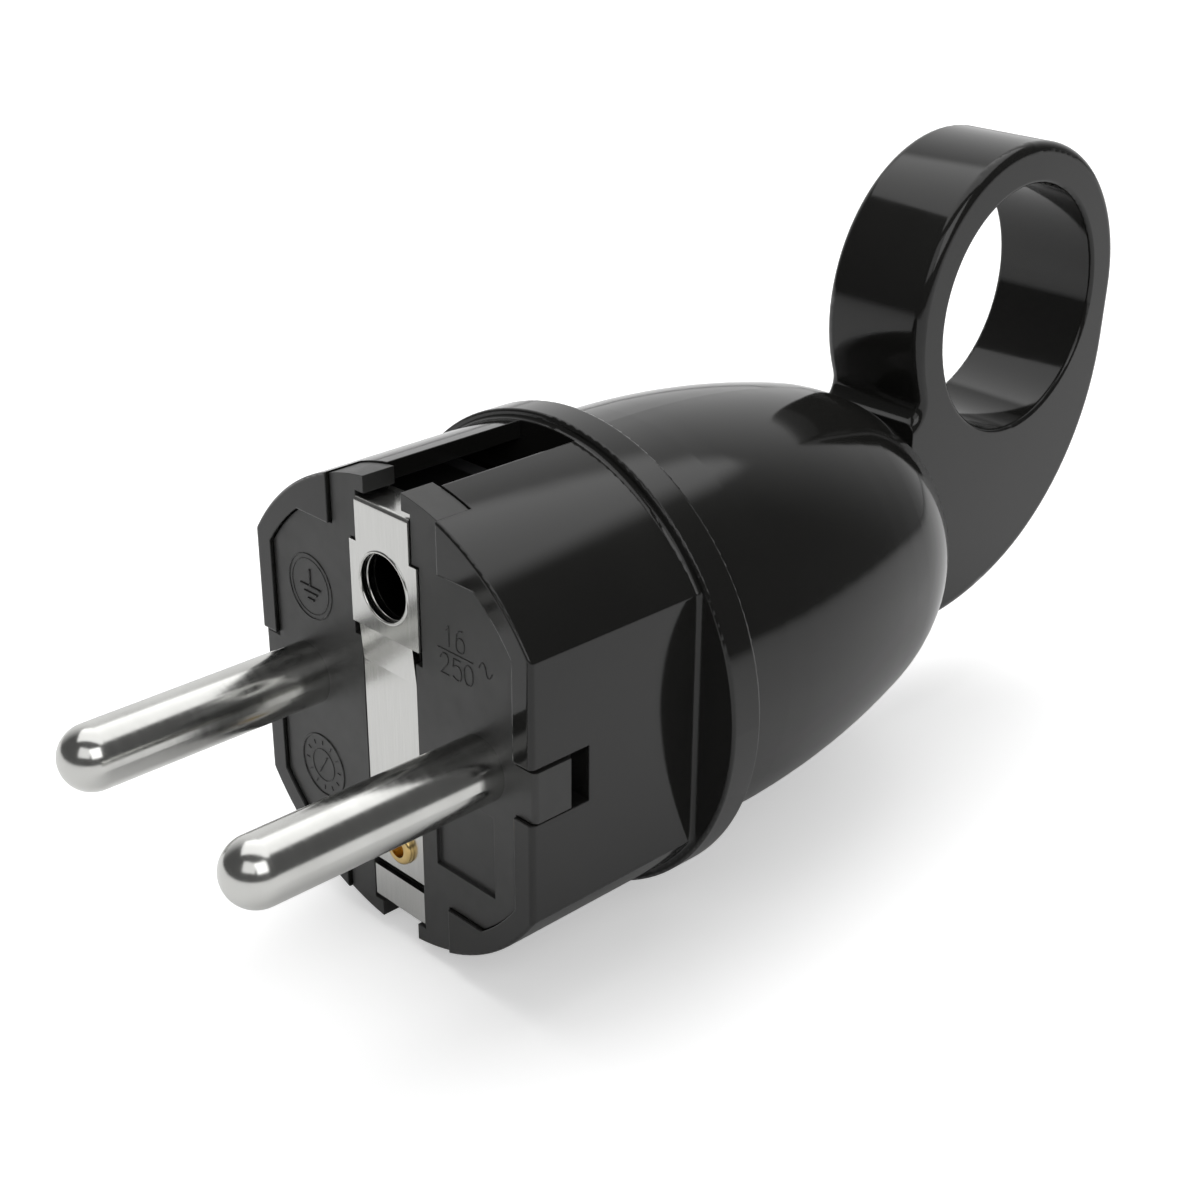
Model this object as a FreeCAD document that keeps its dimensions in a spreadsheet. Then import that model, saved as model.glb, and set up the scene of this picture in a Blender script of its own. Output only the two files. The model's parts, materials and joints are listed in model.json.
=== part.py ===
# A two-pin earthed mains plug of type F with a ring handle, in millimetres.
#
# The engagement face is the plane Y = 0. The pins point to -Y, the body lies behind the face towards +Y,
# X runs across from pin to pin and +Z is up. The ring handle stands up at the rear.
import FreeCAD, Part
import os
import Sketcher

# Every driving size, in millimetres unless a comment says degrees.
SIZES = {
    # How far a cut runs past the face that it opens, and the least difference between two places
    "overcut": 1.0,
    "tolerance": 0.01,
    # Pins
    "pin_diameter": 4.8,
    "pin_spacing": 19.0,
    "pin_length": 20.05,
    "pin_neck_diameter": 4.2,
    "pin_collar_start": 5.0,
    "pin_collar_length": 1.5,
    "pin_collar_diameter": 6.4,
    "pin_tail_diameter": 4.0,
    "pin_tail_length": 2.5,
    "pin_gap": 0.03,
    # Front sleeve and flange
    "sleeve_margin": 8.25,
    "flat_margin": 5.35,
    "sleeve_depth": 15.4,
    "sleeve_wall": 1.35,
    "rim_depth": 3.2,
    "rim_side": 1.8,
    "rim_wall": 1.65,
    "mouth_margin": 3.0,
    "flange_lip": 0.7,
    "flange_width": 2.8,
    "rim_round": 0.2,
    "front_round": 0.4,
    "neck_round": 0.4,
    "flange_round": 0.25,
    "round_land": 0.05,
    "clip_slot_width": 5.74,
    "clip_slot_length": 15.1,
    # Contact carrier
    "face_setback": 0.3,
    "carrier_depth": 13.2,
    "seat_gap": 0.08,
    "tab_pair_width": 11.74,
    "tab_side_gap": 0.15,
    "tab_gap": 4.06,
    "tab_depth": 3.0,
    "tab_inset": 0.12,
    "ear_depth": 1.5,
    "tongue_width": 3.8,
    "tongue_drop": 0.2,
    "tongue_end": 3.54,
    "window_end": 5.17,
    "window_gap": 0.35,
    "panel_left": 4.54,
    "panel_right": 10.7,
    "panel_low": 9.85,
    "panel_top": 3.4,
    "panel_depth": 0.3,
    # Earth contacts, bent from one gauge of sheet
    "sheet": 0.4,
    "bend_radius": 0.35,
    "strip_proud": 0.2,
    "blade_set": 0.05,
    "strip_width": 5.7,
    "strip_wide": 7.2,
    "strip_narrow": 5.75,
    "strip_inset": 1.85,
    "wide_above": 2.6,
    "wide_below": 3.6,
    "joggle_run": 2.8,
    "strip_bottom": 12.55,
    "hook_depth": 2.4,
    "lower_width": 5.6,
    "lower_inset": 1.6,
    "lower_tail_top": 7.6,
    "contact_gap": 0.75,
    "contact_gap_depth": 1.8,
    "peep_width": 0.8,
    "peep_height": 1.1,
    "peep_depth": 2.0,
    # Earth socket for the pin of a type E outlet
    "earth_offset": 10.0,
    "earth_hole": 5.04,
    "earth_hole_round": 0.14,
    "earth_collar_depth": 1.2,
    "earth_bore": 4.9,
    "earth_tube": 5.5,
    "earth_tube_length": 11.1,
    # Rivet with a hollow end, and the earth terminal behind it
    "rivet_drop": 10.3,
    "rivet_side": 0.5,
    "rivet_diameter": 2.7,
    "rivet_bore": 1.5,
    "rivet_bore_depth": 1.0,
    "rivet_proud": 0.5,
    "rivet_lip": 0.3,
    "rivet_head": 4.2,
    "plate_back": 4.0,
    # Line and neutral terminals
    "terminal_wall": 0.75,
    "terminal_height": 7.0,
    "terminal_end": 13.0,
    "wire_bore": 2.8,
    "wire_depth": 3.6,
    "wire_setback": 0.6,
    "screw_diameter": 2.5,
    "screw_head": 4.4,
    "screw_head_height": 1.6,
    "screw_reach": 3.0,
    "screw_slot": 0.6,
    "head_room": 2.4,
    # Earth terminal
    "earth_block_width": 6.0,
    "earth_block_top": 7.2,
    "earth_block_bottom": 12.5,
    "earth_block_front": 4.9,
    "earth_block_depth": 3.4,
    # Rear cover of the carrier
    "cover_thickness": 1.5,
    "cover_wire_hole": 4.2,
    # Rear shell
    "shell_step": 1.85,
    "shell_wall": 1.8,
    "shell_straight": 5.2,
    "side_radius": 76.6,
    "side_length": 19.5,
    "shoulder_radius": 19.7,
    "shoulder_length": 8.4,
    "spigot_gap": 0.15,
    "spigot_length": 3.4,
    "spigot_wall": 1.5,
    "snap_height": 0.25,
    "snap_width": 0.8,
    "snap_setback": 1.2,
    # Ring handle; the angles are in degrees
    "handle_thickness": 9.9,
    "ring_reach": 9.95,
    "ring_up": 17.05,
    "finger_hole": 21.23,
    "ring_wall": 3.42,
    "back_lean": 3.24,
    "back_run": 4.57,
    "heel_radius": 21.95,
    "heel_angle": 66.5,
    "sweep_radius": 26.5,
    "foot_angle": 20.8,
    "foot_round": 1.7,
    "foot_turn": 41.0,
    "foot_step": 2.4,
    "foot_sink": 4.0,
    "ring_round": 0.85,
    "hole_round": 0.35,
    # Cable inlet; the angle is in degrees
    "inlet_lead": 19.48,
    "inlet_angle": 55.0,
    "inlet_hole": 9.4,
    "inlet_boss": 12.4,
    "inlet_setback": 5.935,
    "inlet_reach": 22.0,
    "grommet_bore": 7.6,
    "grommet_lip": 11.0,
    "grommet_lip_thickness": 1.0,
    "grommet_length": 4.2,
    # Cord clamp
    "clamp_lead": 6.0,
    "clamp_margin": 0.86,
    "clamp_edge": 2.2,
    "clamp_depth": 4.0,
    "clamp_thickness": 2.4,
    "clamp_arch": 3.6,
    "clamp_shoulder": 1.8,
    "clamp_screw_gap": 0.2,
    "clamp_screw_reach": 5.0,
    "post_diameter": 4.4,
}

doc = FreeCAD.newDocument("plug")
sheet = doc.addObject("Spreadsheet::Sheet", "Sizes")
for row, (alias, value) in enumerate(SIZES.items(), start=1):
    cell = f"A{row}"
    sheet.set(cell, str(value))
    sheet.setAlias(cell, alias)
doc.recompute()


def value_of(expression):
    """Number that an expression on the sheet gives now."""
    result = sheet.evalExpression(expression)
    return float(getattr(result, "Value", result))


def new_body(label):
    body = doc.addObject("PartDesign::Body", label)
    body.Label = label
    return body


def new_sketch(body, name, role, offset="0", shift="0"):
    """Sketch on an origin plane of the body, moved along the plane's normal and its first axis."""
    sketch = body.newObject("Sketcher::SketchObject", name)
    plane = next(item for item in body.Origin.OriginFeatures if item.Role == role)
    sketch.AttachmentSupport = [(plane, "")]
    sketch.MapMode = "FlatFace"
    sketch.setExpression("AttachmentOffset.Base.z", offset)
    sketch.setExpression("AttachmentOffset.Base.x", shift)
    return sketch


def bind(sketch, kind, *arguments):
    """Adds one dimension to a sketch and binds it to its expression, the last argument."""
    expression = arguments[-1]
    number = value_of(expression)
    index = sketch.addConstraint(Sketcher.Constraint(kind, *arguments[:-1], number))
    sketch.setExpression(f"Constraints[{index}]", expression)


def arc_between(start, end, radius, turn):
    """Arc shorter than half a circle; turn is 'left' or 'right', seen along the way from start to end."""
    middle = (start + end) * 0.5
    along = end - start
    height = max(radius * radius - along.Length * along.Length / 4.0, 0.0) ** 0.5
    side = FreeCAD.Vector(-along.y, along.x, 0.0)
    side.normalize()
    side = side * (height if turn == "left" else -height)
    circle = Part.Circle(middle + side, FreeCAD.Vector(0, 0, 1), radius)
    first, last = (start, end) if turn == "left" else (end, start)
    return Part.ArcOfCircle(circle, circle.parameter(first), circle.parameter(last))


def outline(sketch, corners, arcs=None):
    """Closed outline through corners given as pairs of expressions.

    arcs maps the index of a corner to (radius, turn) where the edge that leaves that corner is an arc.
    """
    arcs = arcs or {}
    points = [FreeCAD.Vector(value_of(u), value_of(v), 0) for u, v in corners]
    ends = []
    for number, start in enumerate(points):
        end = points[(number + 1) % len(points)]
        if number in arcs:
            radius, turn = arcs[number]
            edge = sketch.addGeometry(arc_between(start, end, value_of(radius), turn), False)
            bind(sketch, "Radius", edge, radius)
            ends.append((edge, 1, 2) if turn == "left" else (edge, 2, 1))
        else:
            edge = sketch.addGeometry(Part.LineSegment(start, end), False)
            ends.append((edge, 1, 2))
    for number, (u, v) in enumerate(corners):
        edge, first, _ = ends[number]
        before, _, last = ends[number - 1]
        sketch.addConstraint(Sketcher.Constraint("Coincident", before, last, edge, first))
        bind(sketch, "DistanceX", -1, 1, edge, first, u)
        bind(sketch, "DistanceY", -1, 1, edge, first, v)


def rectangle(sketch, left, low, right, high):
    outline(sketch, [(left, low), (right, low), (right, high), (left, high)])


def disc(sketch, u, v, radius):
    centre = FreeCAD.Vector(value_of(u), value_of(v), 0)
    edge = sketch.addGeometry(Part.Circle(centre, FreeCAD.Vector(0, 0, 1), value_of(radius)), False)
    bind(sketch, "DistanceX", -1, 1, edge, 3, u)
    bind(sketch, "DistanceY", -1, 1, edge, 3, v)
    bind(sketch, "Radius", edge, radius)


def extrude(body, kind, name, sketch, length, reverse=False, both=False):
    """Pad or Pocket of a sketch; both spreads the length to the two sides of the sketch."""
    feature = body.newObject(f"PartDesign::{kind}", name)
    feature.Profile = sketch
    feature.setExpression("Length", length)
    feature.Reversed = reverse
    feature.Midplane = both
    return feature


def turn_round(body, kind, name, sketch, axis="V_Axis"):
    """Revolution or Groove of a sketch, a full turn about one of its axes."""
    feature = body.newObject(f"PartDesign::{kind}", name)
    feature.Profile = sketch
    feature.ReferenceAxis = (sketch, [axis])
    feature.Angle = 360.0
    return feature


def front_pad(body, name, draw, front, length):
    """Pad of an outline in X and Z that starts at the depth front and grows towards +Y."""
    sketch = new_sketch(body, f"{name}_sketch", "XZ_Plane", offset=f"-({front})")
    draw(sketch)
    return extrude(body, "Pad", name, sketch, length, reverse=True)


def front_pocket(body, name, draw, front, length):
    """Pocket of an outline in X and Z that starts at the depth front and cuts towards +Y."""
    sketch = new_sketch(body, f"{name}_sketch", "XZ_Plane", offset=f"-({front})")
    draw(sketch)
    return extrude(body, "Pocket", name, sketch, length)


def round_edges(body, name, radius, wanted):
    """Rounds the edges of the body so far that the function wanted picks."""
    doc.recompute()
    base = body.Tip
    names = [f"Edge{n}" for n, edge in enumerate(base.Shape.Edges, start=1) if wanted(edge)]
    fillet = body.newObject("PartDesign::Fillet", name)
    fillet.Base = (base, names)
    fillet.setExpression("Radius", radius)
    return fillet


def same(first, second):
    return abs(first - second) < SIZES["tolerance"]


def lies_at(edge, axis, place):
    """True where both ends and the middle of an edge have the same coordinate along an axis."""
    middle = edge.valueAt((edge.FirstParameter + edge.LastParameter) / 2)
    spots = [vertex.Point for vertex in edge.Vertexes] + [middle]
    return all(same(spot[axis], place) for spot in spots)


def is_arc_of(edge, *radii):
    """True where an edge is part of a circle with one of the radii."""
    return isinstance(edge.Curve, Part.Circle) and any(same(edge.Curve.Radius, radius) for radius in radii)


def turned_part(label, corners, arcs=None, across="0", plane="XY_Plane", offset="0"):
    """Body turned about an axis parallel to Y, from an outline of (radius, Y) pairs."""
    body = new_body(label)
    sketch = new_sketch(body, f"{label}_profile", plane, offset=offset, shift=across)
    outline(sketch, corners, arcs)
    turn_round(body, "Revolution", f"{label}_turned", sketch)
    return body


HALF_PITCH = "Sizes.pin_spacing / 2"
RIVET_X = "Sizes.rivet_side"
SLEEVE_R = "(Sizes.pin_spacing / 2 + Sizes.sleeve_margin)"
FLAT_X = "(Sizes.pin_spacing / 2 + Sizes.flat_margin)"
FLANGE_R = f"({SLEEVE_R} + Sizes.flange_lip)"
SHELL_R = f"({FLANGE_R} - Sizes.shell_step)"
BODY_BACK = "(Sizes.sleeve_depth + Sizes.flange_width)"
MOUTH_X = f"({FLAT_X} - Sizes.rim_side)"
MOUTH_Z = "(Sizes.earth_offset + Sizes.mouth_margin)"
MOUTH_R = f"({SLEEVE_R} - Sizes.rim_wall)"
SPIGOT_R = f"({MOUTH_X} - Sizes.spigot_gap)"
STRIP_TOP = f"({SLEEVE_R} - Sizes.strip_inset)"
LOWER_BOTTOM = f"({SLEEVE_R} - Sizes.lower_inset)"
LOWER_TOP = "(Sizes.strip_bottom + Sizes.contact_gap)"
EAR_UNDERSIDE = f"({SLEEVE_R} - Sizes.ear_depth)"
WIDE_TOP = "(Sizes.earth_offset + Sizes.wide_above)"
WIDE_BOTTOM = "(Sizes.earth_offset - Sizes.wide_below)"
JOGGLE_END = f"({WIDE_BOTTOM} - Sizes.joggle_run)"
TERMINAL_HALF = f"({MOUTH_X} - Sizes.pin_spacing / 2 - Sizes.terminal_wall)"
SNAP_START = "(Sizes.sleeve_depth + Sizes.flange_width - Sizes.snap_setback - Sizes.snap_width)"
NECK_ROUND = "min(Sizes.neck_round; Sizes.flange_lip - Sizes.flange_round - Sizes.round_land)"
TONGUE_LOW = "(-Sizes.tongue_width / 2 - Sizes.tongue_drop)"
TONGUE_HIGH = "(Sizes.tongue_width / 2 - Sizes.tongue_drop)"
RIVET_HOLE_R = "(Sizes.rivet_diameter / 2 + Sizes.pin_gap)"
SCREW_HOLE_R = "(Sizes.screw_diameter / 2 + Sizes.pin_gap)"
SHEET_FRONT = "(Sizes.face_setback - Sizes.strip_proud)"
SHEET_LOW = "(Sizes.face_setback + Sizes.blade_set)"
COLLAR_END = f"({SHEET_FRONT} + Sizes.earth_collar_depth)"
CLAMP_SCREW_X = ("(Sizes.clamp_arch + Sizes.clamp_shoulder + Sizes.screw_head / 2"
                 " + Sizes.clamp_screw_gap)")
CLAMP_HALF = f"({CLAMP_SCREW_X} + Sizes.clamp_edge)"
CLAMP_DROP = f"sqrt(({SHELL_R} - Sizes.shell_wall - Sizes.clamp_margin)^2 - {CLAMP_HALF}^2)"


def circle_with_flats(sketch, radius, half_width):
    """Circle cut by two upright flats."""
    height = f"sqrt(({radius})^2 - ({half_width})^2)"
    corners = [
        (half_width, f"-{height}"),
        (half_width, height),
        ("0", radius),
        (f"-({half_width})", height),
        (f"-({half_width})", f"-{height}"),
        ("0", f"-({radius})"),
    ]
    arcs = {1: (radius, "left"), 2: (radius, "left"), 4: (radius, "left"), 5: (radius, "left")}
    outline(sketch, corners, arcs)


def mouth(sketch, gap):
    """Opening of the front rim: a square with its four corners on a circle, made smaller by gap."""
    side = f"({MOUTH_X} - {gap})"
    top = f"({MOUTH_Z} - {gap})"
    radius = f"({MOUTH_R} - {gap})"
    high = f"sqrt({radius}^2 - {side}^2)"
    wide = f"sqrt({radius}^2 - {top}^2)"
    corners = [
        (side, f"-{high}"), (side, high),
        (wide, top), (f"-{wide}", top),
        (f"-{side}", high), (f"-{side}", f"-{high}"),
        (f"-{wide}", f"-{top}"), (wide, f"-{top}"),
    ]
    outline(sketch, corners, {number: (radius, "left") for number in (1, 3, 5, 7)})


def make_front_sleeve():
    """Glossy front housing: a round sleeve with two flats, clip channels and the flange."""
    body = new_body("front_sleeve")
    front_pad(body, "sleeve", lambda s: circle_with_flats(s, SLEEVE_R, FLAT_X), "0", "Sizes.sleeve_depth")
    front_pad(body, "flange", lambda s: disc(s, "0", "0", FLANGE_R), "Sizes.sleeve_depth",
              "Sizes.flange_width")
    depth = value_of("Sizes.sleeve_depth")
    back = value_of(BODY_BACK)
    flange_r = value_of(FLANGE_R)
    sleeve_r = value_of(SLEEVE_R)
    round_edges(body, "front_flat_edge", "Sizes.front_round",
                lambda e: lies_at(e, 1, 0.0) and not is_arc_of(e, sleeve_r))
    round_edges(body, "front_arc_edge", "Sizes.rim_round",
                lambda e: lies_at(e, 1, 0.0) and is_arc_of(e, sleeve_r))
    round_edges(body, "neck", NECK_ROUND,
                lambda e: lies_at(e, 1, depth) and not is_arc_of(e, flange_r))
    round_edges(body, "flange_edge", "Sizes.flange_round",
                lambda e: is_arc_of(e, flange_r) and (lies_at(e, 1, depth) or lies_at(e, 1, back)))
    front_pocket(body, "rim_mouth", lambda s: mouth(s, "0"), "0", "Sizes.rim_depth")
    inner_r = f"({SLEEVE_R} - Sizes.sleeve_wall)"
    front_pocket(body, "hollow", lambda s: circle_with_flats(s, inner_r, MOUTH_X),
                 "Sizes.rim_depth", "Sizes.clip_slot_length - Sizes.rim_depth")
    bore = f"{SPIGOT_R} + Sizes.seat_gap"
    front_pocket(body, "spigot_bore", lambda s: disc(s, "0", "0", bore),
                 "Sizes.clip_slot_length", f"{BODY_BACK} - Sizes.clip_slot_length")
    front_pocket(body, "snap_groove", lambda s: disc(s, "0", "0", f"{bore} + Sizes.snap_height"),
                 f"{SNAP_START} - Sizes.seat_gap", "Sizes.snap_width + 2 * Sizes.seat_gap")
    slot = "Sizes.clip_slot_width / 2"
    notch = "Sizes.tab_pair_width / 2"
    for name, sign in (("top", ""), ("bottom", "-")):
        low = f"{sign}({MOUTH_Z} - Sizes.overcut)"
        high = f"{sign}({SLEEVE_R} + Sizes.overcut)"
        front_pocket(body, f"clip_slot_{name}", lambda s: rectangle(s, f"-{slot}", low, slot, high),
                     "0", "Sizes.clip_slot_length")
        front_pocket(body, f"tab_notch_{name}", lambda s: rectangle(s, f"-{notch}", low, notch, high),
                     "0", "Sizes.tab_depth + Sizes.seat_gap")
    sill = f"{TONGUE_LOW} - Sizes.seat_gap"
    lintel = f"{TONGUE_HIGH} + Sizes.window_gap"
    for name, sign in (("right", ""), ("left", "-")):
        near = f"{sign}({MOUTH_X} - Sizes.overcut)"
        far = f"{sign}({FLAT_X} + Sizes.overcut)"
        front_pocket(body, f"window_{name}", lambda s: rectangle(s, near, sill, far, lintel),
                     "0", "Sizes.window_end")
    return body


def make_contact_carrier():
    """Satin insert that holds the pins, the earth socket and the terminals."""
    body = new_body("contact_carrier")
    depth = "(Sizes.carrier_depth - Sizes.face_setback)"
    front_pad(body, "core", lambda s: mouth(s, "Sizes.seat_gap"), "Sizes.face_setback", depth)
    tab = "(Sizes.tab_pair_width / 2 - Sizes.tab_side_gap)"
    inner = "(Sizes.tab_gap / 2)"
    outer_r = f"({SLEEVE_R} - Sizes.tab_inset)"
    root = f"({MOUTH_Z} - Sizes.overcut)"
    strip_x = "(Sizes.strip_width / 2 + Sizes.seat_gap)"
    tab_length = "Sizes.tab_depth - Sizes.face_setback"
    for name, sign, contact in (("top", "", STRIP_TOP), ("bottom", "-", LOWER_BOTTOM)):
        saddle = f"({contact} - Sizes.sheet)"
        tip_inner = f"sqrt({outer_r}^2 - {inner}^2)"
        tip_outer = f"sqrt({outer_r}^2 - {tab}^2)"
        turn_a, turn_b = ("right", "right") if sign == "" else ("left", "left")
        corners = [
            (f"-{tab}", f"{sign}{root}"),
            (f"-{tab}", f"{sign}{tip_outer}"),
            (f"-{inner}", f"{sign}{tip_inner}"),
            (f"-{inner}", f"{sign}{EAR_UNDERSIDE}"),
            (f"-{strip_x}", f"{sign}{EAR_UNDERSIDE}"),
            (f"-{strip_x}", f"{sign}{saddle}"),
            (strip_x, f"{sign}{saddle}"),
            (strip_x, f"{sign}{EAR_UNDERSIDE}"),
            (inner, f"{sign}{EAR_UNDERSIDE}"),
            (inner, f"{sign}{tip_inner}"),
            (tab, f"{sign}{tip_outer}"),
            (tab, f"{sign}{root}"),
        ]
        arcs = {1: (outer_r, turn_a), 9: (outer_r, turn_b)}
        front_pad(body, f"tabs_{name}", lambda s: outline(s, corners, arcs), "Sizes.face_setback",
                  tab_length)
    for name, sign in (("right", ""), ("left", "-")):
        near = f"{sign}({MOUTH_X} - Sizes.overcut)"
        far = f"{sign}{FLAT_X}"
        front_pad(body, f"tongue_{name}", lambda s: rectangle(s, near, TONGUE_LOW, far, TONGUE_HIGH),
                  "Sizes.face_setback", "Sizes.tongue_end - Sizes.face_setback")
    setback = value_of("Sizes.face_setback")
    flat_x = value_of(FLAT_X)
    round_edges(body, "tongue_corner", "Sizes.front_round",
                lambda e: lies_at(e, 1, setback) and all(same(abs(v.X), flat_x) for v in e.Vertexes))
    face = "Sizes.face_setback"
    pin_hole = "Sizes.pin_neck_diameter / 2 + Sizes.pin_gap"
    collar_hole = "Sizes.pin_collar_diameter / 2 + Sizes.pin_gap"
    pocket_x = f"({TERMINAL_HALF} + Sizes.seat_gap)"
    pocket_z = "(Sizes.terminal_height / 2 + Sizes.seat_gap)"
    pocket_front = "(Sizes.pin_collar_start + Sizes.pin_collar_length)"
    for name, sign in (("right", ""), ("left", "-")):
        across = f"{sign}{HALF_PITCH}"
        front_pocket(body, f"pin_hole_{name}", lambda s: disc(s, across, "0", pin_hole),
                     face, "Sizes.pin_collar_start - Sizes.face_setback")
        front_pocket(body, f"collar_hole_{name}", lambda s: disc(s, across, "0", collar_hole),
                     "Sizes.pin_collar_start", "Sizes.pin_collar_length")
        front_pocket(body, f"terminal_pocket_{name}",
                     lambda s: rectangle(s, f"{across} - {pocket_x}", f"-{pocket_z}",
                                         f"{across} + {pocket_x}", f"{pocket_z} + Sizes.head_room"),
                     pocket_front, f"Sizes.carrier_depth - {pocket_front}")
    tube_hole = "Sizes.earth_tube / 2 + Sizes.pin_gap"
    front_pocket(body, "socket_hole", lambda s: disc(s, "0", "Sizes.earth_offset", tube_hole),
                 face, "Sizes.earth_tube_length")
    groove = "(Sizes.strip_narrow / 2 + Sizes.seat_gap)"
    groove_depth = "Sizes.sheet + Sizes.blade_set"
    front_pocket(body, "strip_groove",
                 lambda s: rectangle(s, f"-{groove}", "-Sizes.strip_bottom", groove, WIDE_BOTTOM),
                 face, groove_depth)
    wide_x = "(Sizes.strip_wide / 2 + Sizes.seat_gap)"
    wide_depth = "Sizes.sheet - Sizes.strip_proud"
    front_pocket(body, "wide_groove",
                 lambda s: rectangle(s, f"-{wide_x}", WIDE_BOTTOM, wide_x, f"{WIDE_TOP} + Sizes.seat_gap"),
                 face, wide_depth)
    front_pocket(body, "leg_groove",
                 lambda s: rectangle(s, f"-{strip_x}", WIDE_TOP, strip_x, f"{STRIP_TOP} + Sizes.seat_gap"),
                 face, wide_depth)
    lower = "(Sizes.lower_width / 2 + Sizes.seat_gap)"
    front_pocket(body, "lower_groove",
                 lambda s: rectangle(s, f"-{lower}", f"-{LOWER_BOTTOM}", lower, f"-{LOWER_TOP}"),
                 face, groove_depth)
    front_pocket(body, "contact_gap",
                 lambda s: rectangle(s, f"-{lower}", f"-{LOWER_TOP}", lower, "-Sizes.strip_bottom"),
                 face, "Sizes.contact_gap_depth")
    peep_out = "Sizes.strip_wide / 2 + Sizes.seat_gap"
    for name, sign in (("right", ""), ("left", "-")):
        near = f"{sign}({peep_out} - Sizes.peep_width)"
        far = f"{sign}({peep_out})"
        front_pocket(body, f"peep_{name}",
                     lambda s: rectangle(s, near, f"{WIDE_BOTTOM} - Sizes.peep_height", far,
                                         f"{WIDE_BOTTOM} + Sizes.seat_gap"), face, "Sizes.peep_depth")
    front_pocket(body, "panel",
                 lambda s: rectangle(s, "Sizes.panel_left", "-Sizes.panel_low", "Sizes.panel_right",
                                     "-Sizes.panel_top"), face, "Sizes.panel_depth")
    front_pocket(body, "rivet_hole",
                 lambda s: disc(s, RIVET_X, "-Sizes.rivet_drop", RIVET_HOLE_R),
                 face, "Sizes.plate_back - Sizes.face_setback")
    front_pocket(body, "tail_slot",
                 lambda s: rectangle(s, f"-{lower}", f"-{MOUTH_Z}", lower,
                                     "-Sizes.lower_tail_top + Sizes.seat_gap"),
                 "Sizes.plate_back", "Sizes.earth_block_front - Sizes.plate_back")
    bay = "(Sizes.earth_block_width / 2 + Sizes.seat_gap)"
    front_pocket(body, "earth_bay",
                 lambda s: rectangle(s, f"{RIVET_X} - {bay}", "-Sizes.earth_block_bottom - Sizes.seat_gap",
                                     f"{RIVET_X} + {bay}", "-Sizes.earth_block_top + Sizes.seat_gap"),
                 "Sizes.earth_block_front", "Sizes.carrier_depth - Sizes.earth_block_front")
    return body


def make_pin(name, sign):
    """Solid round pin: domed end, shoulder on the face, neck, collar and a tail in its terminal."""
    radius = "Sizes.pin_diameter / 2"
    neck = "Sizes.pin_neck_diameter / 2"
    collar = "Sizes.pin_collar_diameter / 2"
    tail = "Sizes.pin_tail_diameter / 2"
    collar_end = "Sizes.pin_collar_start + Sizes.pin_collar_length"
    tail_end = f"{collar_end} + Sizes.pin_tail_length"
    corners = [
        ("0", "-Sizes.pin_length"),
        (radius, f"-Sizes.pin_length + {radius}"),
        (radius, "Sizes.face_setback"),
        (neck, "Sizes.face_setback"),
        (neck, "Sizes.pin_collar_start"),
        (collar, "Sizes.pin_collar_start"),
        (collar, collar_end),
        (tail, collar_end),
        (tail, tail_end),
        ("0", tail_end),
    ]
    return turned_part(name, corners, {0: (radius, "left")}, across=f"{sign}{HALF_PITCH}")


def make_earth_strip():
    """Upper earth contact: leg in the clip channel, wide part with the earth hole, joggle and blade."""
    body = new_body("earth_strip")
    front = SHEET_FRONT
    low = SHEET_LOW
    thick = "Sizes.sheet"
    bend = "Sizes.bend_radius"
    top = STRIP_TOP
    hook_back = "(Sizes.tab_depth + Sizes.sheet)"
    corners = [
        (low, "-Sizes.strip_bottom"),
        (f"{low} + {thick}", "-Sizes.strip_bottom"),
        (f"{low} + {thick}", JOGGLE_END),
        (f"{front} + {thick}", WIDE_BOTTOM),
        (f"{front} + {thick}", f"{top} - {thick}"),
        ("Sizes.tab_depth", f"{top} - {thick}"),
        ("Sizes.tab_depth", f"{top} - Sizes.hook_depth"),
        (hook_back, f"{top} - Sizes.hook_depth"),
        (hook_back, f"{top} - {bend}"),
        (f"{hook_back} - {bend}", top),
        (f"{front} + {bend}", top),
        (front, f"{top} - {bend}"),
        (front, WIDE_BOTTOM),
        (low, JOGGLE_END),
    ]
    arcs = {8: (bend, "left"), 10: (bend, "left")}
    side = new_sketch(body, "strip_side", "YZ_Plane")
    outline(side, corners, arcs)
    extrude(body, "Pad", "strip_form", side, "Sizes.strip_wide", both=True)
    wide = "Sizes.strip_wide / 2"
    reach = "Sizes.tab_depth + Sizes.overcut"
    cuts = (("upper", "Sizes.strip_width / 2", WIDE_TOP, f"{STRIP_TOP} + Sizes.overcut"),
            ("lower", "Sizes.strip_narrow / 2", "-Sizes.strip_bottom - Sizes.overcut", WIDE_BOTTOM))
    for name, edge, z_low, z_high in cuts:
        for side_name, sign in (("right", ""), ("left", "-")):
            near = f"{sign}({edge})"
            far = f"{sign}({wide} + Sizes.overcut)"
            front_pocket(body, f"trim_{name}_{side_name}",
                         lambda s: rectangle(s, near, z_low, far, z_high), "0", reach)
    front_pad(body, "drawn_collar", lambda s: disc(s, "0", "Sizes.earth_offset", "Sizes.earth_tube / 2"),
              front, "Sizes.earth_collar_depth")
    front_pocket(body, "socket_opening",
                 lambda s: disc(s, "0", "Sizes.earth_offset", "Sizes.earth_hole / 2"),
                 "0", COLLAR_END)
    hole_r = value_of("Sizes.earth_hole / 2")
    front_y = value_of(front)
    round_edges(body, "socket_edge", "Sizes.earth_hole_round",
                lambda e: is_arc_of(e, hole_r) and lies_at(e, 1, front_y))
    front_pocket(body, "rivet_opening", lambda s: disc(s, RIVET_X, "-Sizes.rivet_drop", RIVET_HOLE_R),
                 "0", "Sizes.tab_depth")
    return body


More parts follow.
